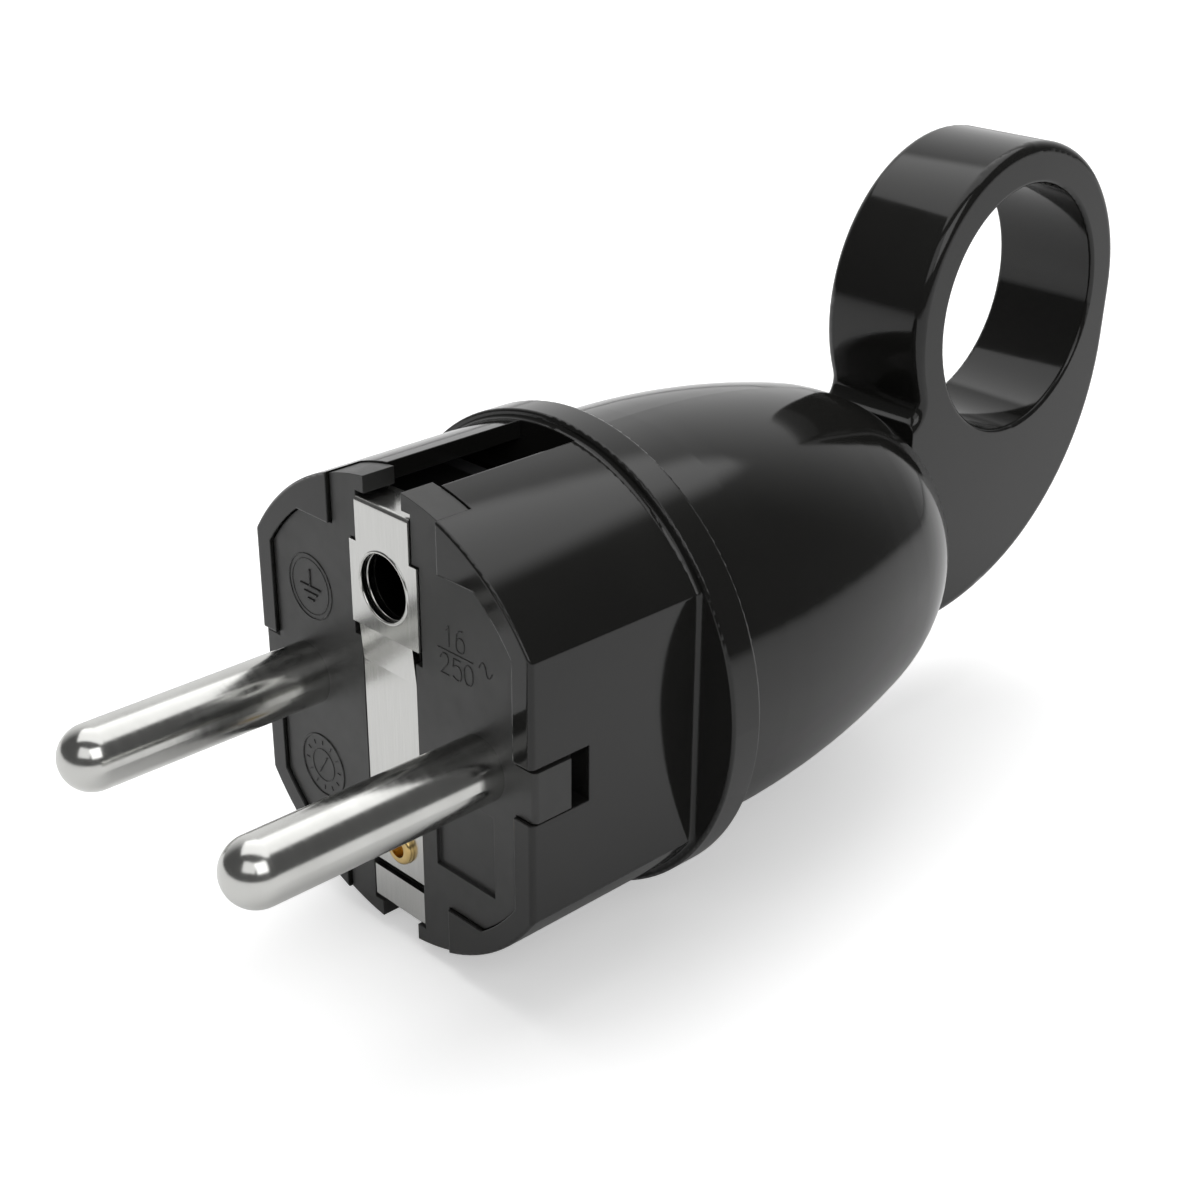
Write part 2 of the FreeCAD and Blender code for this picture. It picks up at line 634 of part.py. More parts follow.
def make_lower_earth_contact():
    """Lower earth contact: short face blade, leg under the carrier and tail behind the riveted plate."""
    body = new_body("lower_earth_contact")
    front = SHEET_LOW
    thick = "Sizes.sheet"
    bend = "Sizes.bend_radius"
    base = f"-{LOWER_BOTTOM}"
    tail = "Sizes.plate_back"
    corners = [
        (front, f"-{LOWER_TOP}"),
        (front, f"{base} + {bend}"),
        (f"{front} + {bend}", base),
        (f"{tail} + {thick} - {bend}", base),
        (f"{tail} + {thick}", f"{base} + {bend}"),
        (f"{tail} + {thick}", "-Sizes.lower_tail_top"),
        (tail, "-Sizes.lower_tail_top"),
        (tail, f"{base} + {thick}"),
        (f"{front} + {thick}", f"{base} + {thick}"),
        (f"{front} + {thick}", f"-{LOWER_TOP}"),
    ]
    arcs = {1: (bend, "left"), 3: (bend, "left")}
    side = new_sketch(body, "lower_side", "YZ_Plane")
    outline(side, corners, arcs)
    extrude(body, "Pad", "lower_form", side, "Sizes.lower_width", both=True)
    front_pocket(body, "lower_rivet_opening",
                 lambda s: disc(s, RIVET_X, "-Sizes.rivet_drop", RIVET_HOLE_R),
                 "Sizes.plate_back", "Sizes.sheet")
    return body


def make_earth_rivet():
    """Brass rivet with a hollow, round-lipped front end and a flat head behind the plate."""
    outer = "Sizes.rivet_diameter / 2"
    inner = "Sizes.rivet_bore / 2"
    head = "Sizes.rivet_head / 2"
    start = f"{SHEET_LOW} - Sizes.rivet_proud"
    lip = "Sizes.rivet_lip"
    seat = "Sizes.plate_back + Sizes.sheet"
    corners = [
        ("0", f"{start} + Sizes.rivet_bore_depth"), (inner, f"{start} + Sizes.rivet_bore_depth"),
        (inner, start), (f"{outer} - {lip}", start), (outer, f"{start} + {lip}"), (outer, seat),
        (head, seat), (head, "Sizes.earth_block_front"), ("0", "Sizes.earth_block_front"),
    ]
    return turned_part("earth_rivet", corners, {3: (lip, "left")}, across=RIVET_X,
                       offset="-Sizes.rivet_drop")


def make_earth_socket():
    """Tube behind the strip's collar, closed at its rear end."""
    inner = "Sizes.earth_bore / 2"
    outer = "Sizes.earth_tube / 2"
    start = COLLAR_END
    end = "Sizes.face_setback + Sizes.earth_tube_length"
    floor = f"{end} - (Sizes.earth_tube - Sizes.earth_bore) / 2"
    corners = [(inner, start), (outer, start), (outer, end), ("0", end), ("0", floor), (inner, floor)]
    return turned_part("earth_socket", corners, offset="Sizes.earth_offset")


def make_terminal(name, sign):
    """Brass block on the pin's tail, with a bore for the wire and a tapped hole for its screw."""
    body = new_body(name)
    across = f"{sign}{HALF_PITCH}"
    half_x = TERMINAL_HALF
    half_z = "Sizes.terminal_height / 2"
    front = "(Sizes.pin_collar_start + Sizes.pin_collar_length)"
    front_pad(body, f"{name}_block",
              lambda s: rectangle(s, f"{across} - {half_x}", f"-{half_z}", f"{across} + {half_x}", half_z),
              front, f"Sizes.terminal_end - {front}")
    tail = "Sizes.pin_tail_diameter / 2 + Sizes.pin_gap"
    wire = "Sizes.wire_bore / 2"
    front_pocket(body, f"{name}_pin_bore", lambda s: disc(s, across, "0", tail),
                 front, "Sizes.pin_tail_length")
    wire_start = "Sizes.terminal_end - Sizes.wire_depth"
    front_pocket(body, f"{name}_wire_bore", lambda s: disc(s, across, "-Sizes.wire_setback", wire),
                 wire_start, "Sizes.wire_depth")
    top = new_sketch(body, f"{name}_screw_sketch", "XY_Plane", offset=half_z)
    disc(top, across, screw_place(), SCREW_HOLE_R)
    extrude(body, "Pocket", f"{name}_screw_bore", top, "Sizes.screw_reach")
    return body


def screw_place():
    """Depth of the terminal screws: over the wire bore, with their heads inside the carrier."""
    return "Sizes.terminal_end - Sizes.screw_head / 2 - Sizes.seat_gap"


def cheese_screw(name, place, rotation, reach="Sizes.screw_reach"):
    """Slotted cheese-head screw along local Z, head up, its seat at the local origin."""
    body = new_body(name)
    shank = "Sizes.screw_diameter / 2"
    head = "Sizes.screw_head / 2"
    side = new_sketch(body, f"{name}_profile", "XZ_Plane")
    outline(side, [("0", f"-{reach}"), (shank, f"-{reach}"), (shank, "0"), (head, "0"),
                   (head, "Sizes.screw_head_height"), ("0", "Sizes.screw_head_height")])
    turn_round(body, "Revolution", f"{name}_turned", side)
    slot = new_sketch(body, f"{name}_slot_sketch", "XY_Plane", offset="Sizes.screw_head_height")
    half = "Sizes.screw_slot / 2"
    rectangle(slot, f"-{head}", f"-{half}", head, half)
    extrude(body, "Pocket", f"{name}_slot", slot, "Sizes.screw_head_height / 2")
    for axis, expression in zip("xyz", place):
        body.setExpression(f"Placement.Base.{axis}", expression)
    body.Placement.Rotation = rotation
    return body


def make_earth_terminal():
    """Brass block behind the rivet that takes the earth wire."""
    body = new_body("earth_terminal")
    half = "Sizes.earth_block_width / 2"
    front_pad(body, "earth_block",
              lambda s: rectangle(s, f"{RIVET_X} - {half}", "-Sizes.earth_block_bottom",
                                  f"{RIVET_X} + {half}", "-Sizes.earth_block_top"),
              "Sizes.earth_block_front", "Sizes.earth_block_depth")
    front_pocket(body, "earth_screw_bore",
                 lambda s: disc(s, RIVET_X, "-Sizes.rivet_drop", SCREW_HOLE_R),
                 "Sizes.earth_block_front + Sizes.earth_block_depth - Sizes.screw_reach",
                 "Sizes.screw_reach")
    return body


def make_contact_cover():
    """Rear cover that keeps the terminals in the carrier, with a hole for each wire."""
    body = new_body("contact_cover")
    front_pad(body, "cover_plate", lambda s: mouth(s, "Sizes.seat_gap"), "Sizes.carrier_depth",
              "Sizes.cover_thickness")
    hole = "Sizes.cover_wire_hole / 2"
    places = (("right", HALF_PITCH, "-Sizes.wire_setback"),
              ("left", f"-{HALF_PITCH}", "-Sizes.wire_setback"),
              ("earth", RIVET_X, "-Sizes.rivet_drop"))
    for name, across, up in places:
        front_pocket(body, f"cover_hole_{name}", lambda s: disc(s, across, up, hole), "Sizes.carrier_depth",
                     "Sizes.cover_thickness")
    return body


# The shell's side: straight, then two arcs and a round nose. Each arc starts where the one before ends,
# and each centre follows from the radius before it and the angle reached.
STRAIGHT_END = f"({BODY_BACK} + Sizes.shell_straight)"
SIDE_SINE = "(Sizes.side_length / Sizes.side_radius)"
SIDE_COSINE = f"sqrt(1 - {SIDE_SINE}^2)"
SHOULDER_Y = f"({STRAIGHT_END} + (Sizes.side_radius - Sizes.shoulder_radius) * {SIDE_SINE})"
SHOULDER_Z = (f"({SHELL_R} - Sizes.side_radius"
              f" + (Sizes.side_radius - Sizes.shoulder_radius) * {SIDE_COSINE})")
NOSE_SINE = f"({SIDE_SINE} + Sizes.shoulder_length / Sizes.shoulder_radius)"
NOSE_COSINE = f"sqrt(1 - {NOSE_SINE}^2)"
NOSE_R = f"({SHOULDER_Z} / {NOSE_COSINE} + Sizes.shoulder_radius)"
NOSE_Y = f"({SHOULDER_Y} - {SHOULDER_Z} / {NOSE_COSINE} * {NOSE_SINE})"
SHELL_END = f"({NOSE_Y} + {NOSE_R})"
RING_Y = f"({SHELL_END} + Sizes.ring_reach)"
INLET_Y = f"({SHELL_END} - Sizes.inlet_lead)"
CLAMP_Y = f"({INLET_Y} - Sizes.clamp_lead)"
INLET_MOUTH = f"({SHELL_R} / sin(Sizes.inlet_angle * 1 deg) - Sizes.inlet_setback)"
BOSS_START = f"({INLET_MOUTH} - Sizes.grommet_length)"


def shell_profile(sketch, inset, front, front_radius, step):
    """Half section of the shell in (Y, Z), smaller by inset."""
    side_r = f"(Sizes.side_radius - {inset})"
    shoulder_r = f"(Sizes.shoulder_radius - {inset})"
    nose_r = f"({NOSE_R} - {inset})"
    side_z = f"({SHELL_R} - {inset})"
    joint_y = f"{STRAIGHT_END} + {side_r} * {SIDE_SINE}"
    joint_z = f"{SHELL_R} - Sizes.side_radius + {side_r} * {SIDE_COSINE}"
    nose_y = f"{SHOULDER_Y} + {shoulder_r} * {NOSE_SINE}"
    nose_z = f"{SHOULDER_Z} + {shoulder_r} * {NOSE_COSINE}"
    corners = [
        (front, "0"), (f"{NOSE_Y} + {nose_r}", "0"), (nose_y, nose_z), (joint_y, joint_z),
        (STRAIGHT_END, side_z), (step, side_z), (step, front_radius), (front, front_radius),
    ]
    outline(sketch, corners, {1: (nose_r, "left"), 2: (shoulder_r, "left"), 3: (side_r, "left")})


def handle_outline(sketch):
    """Side view of the ring handle: ring, straight back, heel and the long sweep under the shell."""
    ring_y = RING_Y
    ring_z = "Sizes.ring_up"
    radius = "(Sizes.finger_hole / 2 + Sizes.ring_wall)"
    lean_c = "cos(Sizes.back_lean * 1 deg)"
    lean_s = "sin(Sizes.back_lean * 1 deg)"
    heel_c = "cos(Sizes.heel_angle * 1 deg)"
    heel_s = "sin(Sizes.heel_angle * 1 deg)"
    foot_c = "cos(Sizes.foot_angle * 1 deg)"
    foot_s = "sin(Sizes.foot_angle * 1 deg)"
    back_y = f"({ring_y} + {radius} * {lean_c})"
    back_z = f"({ring_z} - {radius} * {lean_s})"
    low_y = f"({back_y} - Sizes.back_run * {lean_s})"
    low_z = f"({back_z} - Sizes.back_run * {lean_c})"
    heel_y = f"({low_y} - Sizes.heel_radius * {lean_c} + Sizes.heel_radius * {heel_c})"
    heel_z = f"({low_z} + Sizes.heel_radius * {lean_s} - Sizes.heel_radius * {heel_s})"
    sweep_y = f"({heel_y} - Sizes.sweep_radius * {heel_c})"
    sweep_z = f"({heel_z} + Sizes.sweep_radius * {heel_s} - Sizes.sweep_radius)"
    foot_y = f"({ring_y} - {radius} * {foot_c})"
    foot_z = f"({ring_z} - {radius} * {foot_s})"
    bend_y = f"({foot_y} - Sizes.foot_round * {foot_c})"
    bend_z = f"({foot_z} - Sizes.foot_round * {foot_s})"
    end_c = "cos((Sizes.foot_angle + Sizes.foot_turn) * 1 deg)"
    end_s = "sin((Sizes.foot_angle + Sizes.foot_turn) * 1 deg)"
    root_y = f"({bend_y} + Sizes.foot_round * {end_c})"
    root_z = f"({bend_z} - Sizes.foot_round * {end_s})"
    step_z = f"({root_z} - Sizes.foot_step)"
    inner_y = f"({root_y} - Sizes.foot_sink)"
    corners = [
        (foot_y, foot_z),
        (root_y, root_z),
        (root_y, step_z),
        (inner_y, step_z),
        (inner_y, sweep_z),
        (sweep_y, sweep_z),
        (heel_y, heel_z),
        (low_y, low_z),
        (back_y, back_z),
        (ring_y, f"({ring_z} + {radius})"),
    ]
    arcs = {
        0: ("Sizes.foot_round", "right"),
        5: ("Sizes.sweep_radius", "left"),
        6: ("Sizes.heel_radius", "left"),
        8: (radius, "left"),
        9: (radius, "left"),
    }
    outline(sketch, corners, arcs)


def along_inlet(distance):
    """Y and Z of a point on the cable inlet's axis."""
    return (f"{INLET_Y} + ({distance}) * cos(Sizes.inlet_angle * 1 deg)",
            f"-({distance}) * sin(Sizes.inlet_angle * 1 deg)")


def inlet_cylinder(name, radius, start, length):
    """Cylinder along the cable inlet's axis."""
    cylinder = doc.addObject("Part::Cylinder", name)
    cylinder.setExpression("Radius", radius)
    cylinder.setExpression("Height", length)
    y, z = along_inlet(start)
    cylinder.setExpression("Placement.Base.y", y)
    cylinder.setExpression("Placement.Base.z", z)
    cylinder.Placement.Rotation = FreeCAD.Rotation(FreeCAD.Vector(1, 0, 0), 0)
    cylinder.setExpression("Placement.Rotation.Angle", "-(90 + Sizes.inlet_angle) * 1 deg")
    return cylinder


def clamp_cylinder(name, radius, sign, low, height):
    """Upright cylinder on the axis of one of the clamp's screws."""
    cylinder = doc.addObject("Part::Cylinder", name)
    cylinder.setExpression("Radius", radius)
    cylinder.setExpression("Height", height)
    cylinder.setExpression("Placement.Base.x", f"{sign}{CLAMP_SCREW_X}")
    cylinder.setExpression("Placement.Base.y", CLAMP_Y)
    cylinder.setExpression("Placement.Base.z", low)
    return cylinder


def boolean(kind, label, base, tool):
    result = doc.addObject(f"Part::{kind}", label)
    result.Label = label
    result.Base = base
    result.Tool = tool
    return result


def make_rear_shell():
    """Glossy rear shell, moulded in one with the ring handle, hollow, with the cable inlet underneath."""
    form = new_body("shell_form")
    section = new_sketch(form, "shell_section", "YZ_Plane")
    shell_profile(section, "0", f"{BODY_BACK} - Sizes.spigot_length", SPIGOT_R, BODY_BACK)
    turn_round(form, "Revolution", "shell_turned", section, axis="H_Axis")
    front_pad(form, "snap_bead", lambda s: disc(s, "0", "0", f"{SPIGOT_R} + Sizes.snap_height"),
              SNAP_START, "Sizes.snap_width")
    handle = new_sketch(form, "handle_side", "YZ_Plane")
    handle_outline(handle)
    extrude(form, "Pad", "handle", handle, "Sizes.handle_thickness", both=True)
    half = value_of("Sizes.handle_thickness / 2")
    ring_y = value_of(RING_Y)
    radii = [value_of("Sizes.finger_hole / 2 + Sizes.ring_wall"), value_of("Sizes.heel_radius"),
             value_of("Sizes.sweep_radius")]

    def outer_edge(edge):
        """Arcs of the handle's outline and its straight back, on both sides."""
        at_side = lies_at(edge, 0, half) or lies_at(edge, 0, -half)
        straight = isinstance(edge.Curve, Part.Line) and edge.Vertexes[0].Y > ring_y
        return at_side and (is_arc_of(edge, *radii) or straight)

    round_edges(form, "handle_edge", "Sizes.ring_round", outer_edge)

    hole = new_sketch(form, "finger_hole_sketch", "YZ_Plane")
    disc(hole, RING_Y, "Sizes.ring_up", "Sizes.finger_hole / 2")
    extrude(form, "Pocket", "finger_hole", hole, "Sizes.handle_thickness * 2", both=True)
    hole_r = value_of("Sizes.finger_hole / 2")
    round_edges(form, "finger_hole_edge", "Sizes.hole_round",
                lambda e: is_arc_of(e, hole_r) and (lies_at(e, 0, half) or lies_at(e, 0, -half)))

    cavity = new_body("shell_cavity")
    section = new_sketch(cavity, "cavity_section", "YZ_Plane")
    shell_profile(section, "Sizes.shell_wall", f"{BODY_BACK} - Sizes.spigot_length",
                  f"{SPIGOT_R} - Sizes.spigot_wall", f"{BODY_BACK} + Sizes.shell_wall")
    turn_round(cavity, "Revolution", "cavity_turned", section, axis="H_Axis")
    boss = inlet_cylinder("inlet_boss", "Sizes.inlet_boss / 2", BOSS_START, "Sizes.inlet_reach")
    space = boolean("Cut", "shell_space", cavity, boss)
    for name, sign in (("right", ""), ("left", "-")):
        post = clamp_cylinder(f"clamp_post_{name}", "Sizes.post_diameter / 2", sign,
                              f"-{CLAMP_DROP} - {SHELL_R}", SHELL_R)
        space = boolean("Cut", f"space_round_post_{name}", space, post)
    hollow = boolean("Cut", "hollow_shell", form, space)
    bore = inlet_cylinder("inlet_bore", "Sizes.inlet_hole / 2",
                          f"{BOSS_START} - Sizes.grommet_lip_thickness", "Sizes.inlet_reach")
    opened = boolean("Cut", "opened_shell", hollow, bore)
    for name, sign in (("right", ""), ("left", "-")):
        tap = clamp_cylinder(f"clamp_tap_{name}", SCREW_HOLE_R, sign,
                             f"-{CLAMP_DROP} + Sizes.clamp_thickness - Sizes.clamp_screw_reach",
                             "Sizes.clamp_screw_reach")
        opened = boolean("Cut", "rear_shell" if name == "left" else "shell_tapped_once", opened, tap)
    return opened


def make_cable_grommet():
    """Rubber ring in the cable inlet, with a lip inside the boss end."""
    body = new_body("cable_grommet")
    bore = "Sizes.grommet_bore / 2"
    outer = "Sizes.inlet_hole / 2 - Sizes.pin_gap"
    lip = "Sizes.grommet_lip / 2"
    side = new_sketch(body, "grommet_profile", "XZ_Plane")
    outline(side, [(bore, "0"), (outer, "0"), (outer, "Sizes.grommet_length"),
                   (lip, "Sizes.grommet_length"),
                   (lip, "Sizes.grommet_length + Sizes.grommet_lip_thickness"),
                   (bore, "Sizes.grommet_length + Sizes.grommet_lip_thickness")])
    turn_round(body, "Revolution", "grommet_turned", side)
    y, z = along_inlet(INLET_MOUTH)
    body.setExpression("Placement.Base.y", y)
    body.setExpression("Placement.Base.z", z)
    body.Placement.Rotation = FreeCAD.Rotation(FreeCAD.Vector(1, 0, 0), 0)
    body.setExpression("Placement.Rotation.Angle", "(90 - Sizes.inlet_angle) * 1 deg")
    return body


def make_cord_clamp():
    """Moulded bridge over the cord with two screws into posts of the shell."""
    body = new_body("cord_clamp")
    half = CLAMP_HALF
    arch = "Sizes.clamp_arch"
    thick = "Sizes.clamp_thickness"
    shoulder = f"({arch} + Sizes.clamp_shoulder)"
    low = f"-{CLAMP_DROP}"
    corners = [
        (f"-{half}", low), (f"-{arch}", low), ("0", f"{low} + {arch}"), (arch, low), (half, low),
        (half, f"{low} + {thick}"), (shoulder, f"{low} + {thick}"),
        ("0", f"{low} + {arch} + {thick}"), (f"-{shoulder}", f"{low} + {thick}"),
        (f"-{half}", f"{low} + {thick}"),
    ]
    sketch = new_sketch(body, "clamp_section", "XZ_Plane", offset=f"-{CLAMP_Y}")
    outline(sketch, corners)
    extrude(body, "Pad", "clamp_form", sketch, "Sizes.clamp_depth", both=True)
    for name, sign in (("right", ""), ("left", "-")):
        top = new_sketch(body, f"clamp_hole_{name}_sketch", "XY_Plane", offset=f"{low} + {thick}")
        disc(top, f"{sign}{CLAMP_SCREW_X}", CLAMP_Y, SCREW_HOLE_R)
        extrude(body, "Pocket", f"clamp_hole_{name}", top, thick)
    return body


UPRIGHT = FreeCAD.Rotation()
BACKWARD = FreeCAD.Rotation(FreeCAD.Vector(1, 0, 0), -90)

parts = [
    make_front_sleeve(),
    make_rear_shell(),
    make_contact_carrier(),
    make_pin("pin_right", ""),
    make_pin("pin_left", "-"),
    make_earth_strip(),
    make_lower_earth_contact(),
    make_earth_socket(),
    make_earth_rivet(),
    make_terminal("terminal_right", ""),
    make_terminal("terminal_left", "-"),
    make_earth_terminal(),
    make_contact_cover(),
    make_cable_grommet(),
    make_cord_clamp(),
]
for side, sign in (("right", ""), ("left", "-")):
    parts.append(cheese_screw(f"terminal_screw_{side}",
                              (f"{sign}{HALF_PITCH}", screw_place(), "Sizes.terminal_height / 2"), UPRIGHT))
    parts.append(cheese_screw(f"clamp_screw_{side}",
                              (f"{sign}{CLAMP_SCREW_X}", CLAMP_Y,
                               f"-{CLAMP_DROP} + Sizes.clamp_thickness"), UPRIGHT,
                              "Sizes.clamp_screw_reach"))
parts.append(cheese_screw("earth_terminal_screw",
                          (RIVET_X, "Sizes.earth_block_front + Sizes.earth_block_depth",
                           "-Sizes.rivet_drop"),
                          BACKWARD))

doc.recompute()

for item in doc.Objects:
    if "Invalid" in item.State or "Error" in item.State:
        raise RuntimeError(f"{item.Label}: {item.State}")
for part in parts:
    if part.Shape.isNull() or not part.Shape.isValid():
        raise RuntimeError(f"{part.Label} has no valid shape")

os.makedirs("parts", exist_ok=True)
for part in parts:
    part.Shape.exportStep(f"parts/{part.Label}.step")
    print(f"{part.Label}: {len(part.Shape.Solids)} solid, {part.Shape.Volume:.1f} mm3")
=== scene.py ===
# A two-pin earthed mains plug with a ring handle: finishes, moulded marks, studio light and camera.
# Lengths are in metres, or in millimetres where MM turns them into metres.
# The pins point to -Y, and the ring handle stands up towards +Z.
import json
import math

import bmesh
import bpy
from mathutils import Matrix, Quaternion, Vector


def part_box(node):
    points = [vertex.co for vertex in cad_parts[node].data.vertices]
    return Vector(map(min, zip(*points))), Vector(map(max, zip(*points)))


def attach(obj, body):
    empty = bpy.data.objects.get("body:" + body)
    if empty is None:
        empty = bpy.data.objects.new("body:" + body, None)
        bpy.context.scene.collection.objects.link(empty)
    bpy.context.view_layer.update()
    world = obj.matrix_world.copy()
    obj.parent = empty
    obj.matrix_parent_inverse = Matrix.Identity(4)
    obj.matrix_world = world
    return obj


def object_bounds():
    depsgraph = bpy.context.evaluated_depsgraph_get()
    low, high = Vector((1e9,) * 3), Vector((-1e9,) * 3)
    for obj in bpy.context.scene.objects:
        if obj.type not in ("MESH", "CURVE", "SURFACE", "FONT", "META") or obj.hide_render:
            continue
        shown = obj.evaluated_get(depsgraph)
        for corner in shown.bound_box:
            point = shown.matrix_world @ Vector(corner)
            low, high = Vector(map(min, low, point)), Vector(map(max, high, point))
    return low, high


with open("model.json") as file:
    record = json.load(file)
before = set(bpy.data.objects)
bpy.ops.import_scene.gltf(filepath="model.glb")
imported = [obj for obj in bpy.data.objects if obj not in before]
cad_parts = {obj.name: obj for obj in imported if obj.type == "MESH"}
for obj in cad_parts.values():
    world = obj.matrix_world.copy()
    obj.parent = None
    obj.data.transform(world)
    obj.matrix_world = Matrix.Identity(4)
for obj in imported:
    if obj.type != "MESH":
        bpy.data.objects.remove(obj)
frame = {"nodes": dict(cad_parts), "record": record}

MM = 0.001
model_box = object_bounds()

# Camera, fitted to the pins and the rim in a square photograph
SENSOR_WIDTH = 36.0
FOCAL_PIXELS = 1955.0
FRAME_PIXELS = 1200.0
CAMERA_PLACE = Vector((95.9, -72.4, 66.0)) * MM
CAMERA_AZIMUTH = math.radians(45.93)
CAMERA_ELEVATION = math.radians(25.44)
CAMERA_ROLL = math.radians(0.34)
CAMERA_NEAR = 1 * MM

# The plug lies level with its flange on the floor. To the eye the floor glows more between two distances from
# the plug: painted light that turns it white far off, and a painted shade round the plug on top of the lamps'
# shadow
FLOOR_HEIGHT = model_box[0].z
FLOOR_SIZE = 4.0
FLOOR_GREY = 0.80
PAINTED_FLOOR_GLOW = (0.44, 1.0)
PAINTED_GLOW_DISTANCES = (0.25, 0.70)

# Direction of the studio's pale wall, behind the plug on the left, how it fades with the cosine of the
# angle to it, and the levels away from it and at it
PALE_WALL = (-0.70, 0.71, 0.12)
WALL_FADE = (0.30, 1.00)
WALL_LEVELS = (0.10, 0.95)

# Part of a noise's range over which a value or a colour goes from its first to its last
VALUE_RANGE = (0.25, 0.75)
COLOUR_RANGE = (0.3, 0.7)
BEVEL_SAMPLES = 6

# Earth socket's axis, and the turned rings at its mouth as radius and depth in millimetres
SOCKET_HEIGHT = sum(corner.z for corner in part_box("earth_socket")) / 2
EYELET = ((2.68, 0.11), (2.63, 0.03), (2.54, 0.0), (2.46, 0.04), (2.43, 0.12), (2.43, 0.42), (2.46, 0.45))
COLLAR = ((2.46, 0.60), (2.41, 0.63), (2.40, 0.70), (2.40, 0.88), (2.41, 0.93), (2.46, 0.96))
RING_STEPS = 128

# Marks on the plug's face, which lies a little behind the rim: half width and smoothness of their lines
FACE_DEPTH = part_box("contact_carrier")[0].y
LINE_RADIUS = 0.055 * MM
LINE_ROUNDNESS = 2
LINE_SMOOTHNESS = 6
CIRCLE_CORNERS = 12

# Round marks in millimetres: centres as X and Z, outer radius, and what lies inside
MARK_RADIUS = 2.4
EARTH_SIGN_CENTRE = (-8.77, 7.10)
EARTH_RING_GAP = 0.35
EARTH_STEM = (1.35, 0.05)
EARTH_BARS = ((0.0, 1.15), (-0.5, 0.75), (-1.0, 0.35))
EARTH_WEIGHT = 1.8
DIAL_CENTRE = (-8.52, -7.42)
DIAL_HUB = 1.25
DIAL_TICKS = 12
DIAL_TICK_ENDS = (1.7, 2.05)
DIAL_POINTER = ((-0.5, -0.7), (0.45, 0.75))

# Rating in millimetres: a row's foot, the width and height of a cell, and each sign with its left edge
UPPER_ROW = (7.95, 0.82, 1.55, (("1", 6.2), ("6", 7.3)))
LOWER_ROW = (5.78, 0.86, 1.45, (("2", 5.63), ("5", 6.88), ("0", 8.05)))
WAVE_ROW = (7.05, 1.3, 0.95, (("~", 9.55),))
RATING_BAR = ((5.38, 7.58), (8.97, 7.58))

# Strokes of each sign, in a cell one wide and one high
STROKES = {
    "0": [[(0.0, 0.0), (1.0, 0.0), (1.0, 1.0), (0.0, 1.0)]],
    "1": [[(0.10, 0.72), (0.45, 1.0)],
          [(0.45, 1.0), (0.45, 0.0)]],
    "2": [[(0.0, 0.75), (0.1, 1.05), (0.9, 1.05), (0.95, 0.6), (0.5, 0.35), (0.0, 0.0)],
          [(0.0, 0.0), (1.0, 0.0)]],
    "5": [[(0.95, 1.0), (0.1, 1.0)],
          [(0.1, 1.0), (0.05, 0.58)],
          [(0.05, 0.58), (0.5, 0.74), (1.0, 0.6), (1.0, 0.0), (0.4, -0.06), (0.0, 0.1)]],
    "6": [[(0.85, 1.0), (0.2, 1.0), (0.0, 0.5), (0.0, -0.05),
           (1.0, -0.05), (1.0, 0.62), (0.2, 0.66), (0.0, 0.4)]],
    "~": [[(0.0, 0.5), (0.15, 1.0), (0.45, 1.0), (0.6, 0.0), (0.85, 0.0), (1.0, 0.45)]],
}


def new_material(name, metallic=0.0):
    """New material, with its nodes, its links and its shader."""
    material = bpy.data.materials.new(name)
    material.use_nodes = True
    nodes = material.node_tree.nodes
    shader = nodes["Principled BSDF"]
    shader.inputs["Metallic"].default_value = metallic
    return material, nodes, material.node_tree.links, shader


def object_coordinates(nodes, links, scale=(1, 1, 1)):
    """Position on the object, stretched by scale along X, Y and Z."""
    place = nodes.new("ShaderNodeTexCoord")
    mapping = nodes.new("ShaderNodeMapping")
    mapping.inputs["Scale"].default_value = scale
    links.new(place.outputs["Object"], mapping.inputs["Vector"])
    return mapping.outputs["Vector"]


def noise(nodes, links, vector, scale=1.0, detail=3.0, roughness=0.5):
    """Cloudy value from 0 to 1 at a vector."""
    texture = nodes.new("ShaderNodeTexNoise")
    texture.inputs["Scale"].default_value = scale
    texture.inputs["Detail"].default_value = detail
    texture.inputs["Roughness"].default_value = roughness
    links.new(vector, texture.inputs["Vector"])
    return texture.outputs["Fac"]


def mapped(nodes, links, value, span, levels, smooth=False):
    """Maps a value's span onto two levels, along a straight line or a smooth step."""
    node = nodes.new("ShaderNodeMapRange")
    if smooth:
        node.interpolation_type = "SMOOTHSTEP"
    node.inputs["From Min"].default_value = span[0]
    node.inputs["From Max"].default_value = span[1]
    node.inputs["To Min"].default_value = levels[0]
    node.inputs["To Max"].default_value = levels[1]
    links.new(value, node.inputs["Value"])
    return node.outputs["Result"]


def product(nodes, links, first, second):
    """Product of two values."""
    node = nodes.new("ShaderNodeMath")
    node.operation = "MULTIPLY"
    links.new(first, node.inputs[0])
    links.new(second, node.inputs[1])
    return node.outputs["Value"]


def blended(nodes, links, value, dark, light):
    """Colour between two, by a 0 to 1 value."""
    ramp = nodes.new("ShaderNodeValToRGB")
    for element, position, colour in zip(ramp.color_ramp.elements, COLOUR_RANGE, (dark, light)):
        element.position = position
        element.color = (*colour, 1)
    links.new(value, ramp.inputs["Fac"])
    return ramp.outputs["Color"]


def bump(nodes, links, height, distance, strength, edge=None):
    """Relief from a height; with an edge radius, sharp edges also catch the light as rounded ones do."""
    relief = nodes.new("ShaderNodeBump")
    relief.inputs["Distance"].default_value = distance
    relief.inputs["Strength"].default_value = strength
    links.new(height, relief.inputs["Height"])
    if edge:
        rounding = nodes.new("ShaderNodeBevel")
        rounding.samples = BEVEL_SAMPLES
        rounding.inputs["Radius"].default_value = edge
        links.new(rounding.outputs["Normal"], relief.inputs["Normal"])
    return relief.outputs["Normal"]


